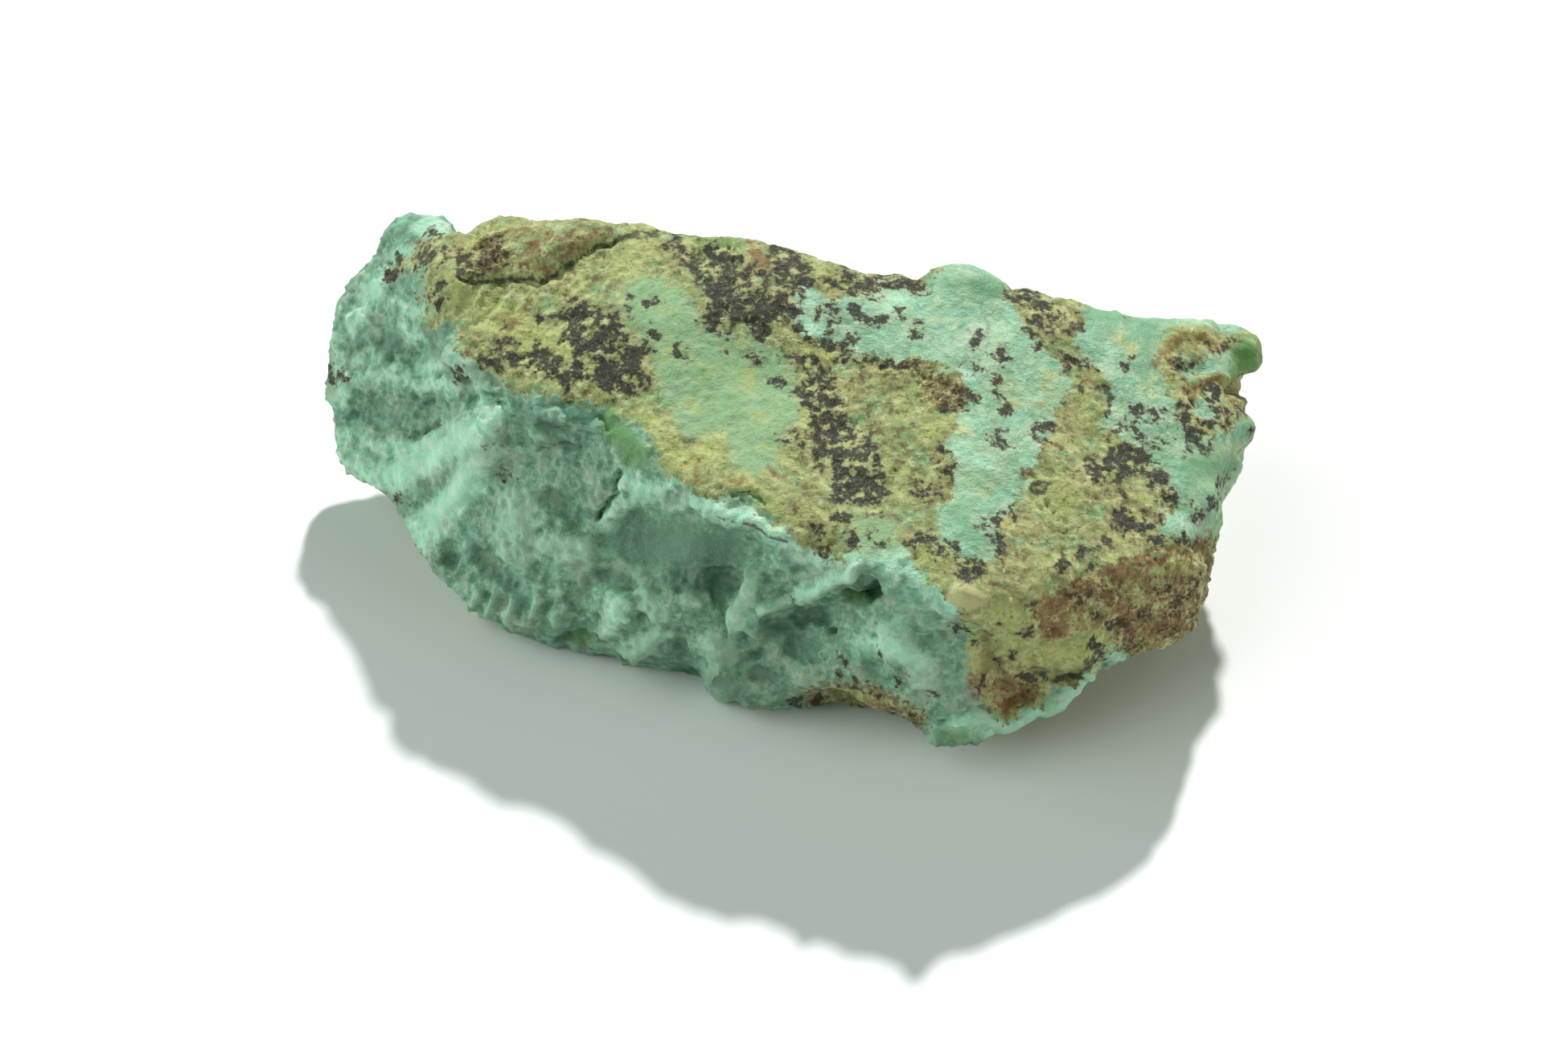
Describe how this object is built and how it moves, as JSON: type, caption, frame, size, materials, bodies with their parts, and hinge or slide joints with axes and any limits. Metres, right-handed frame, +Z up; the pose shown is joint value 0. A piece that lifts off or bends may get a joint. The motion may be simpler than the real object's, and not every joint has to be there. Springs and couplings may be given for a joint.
{
  "type": "raw chrysoprase stone",
  "caption": "Rough natural lump of apple-green chrysoprase with mint broken faces and a weathered olive crust spotted black, lying on a flat break.",
  "frame": {"origin": "on the resting surface, under the middle of the stone's box", "axes": "+X along the stone towards the end with the green knob, which is right in the picture; +Y away from the broken front face; +Z up"},
  "size_m": [0.0516, 0.031, 0.018],
  "materials": {
    "stone": "rough and dull, waxy on the mint breaks"
  },
  "bodies": {
    "root": {"stone": "stone"}
  },
  "joints": []
}
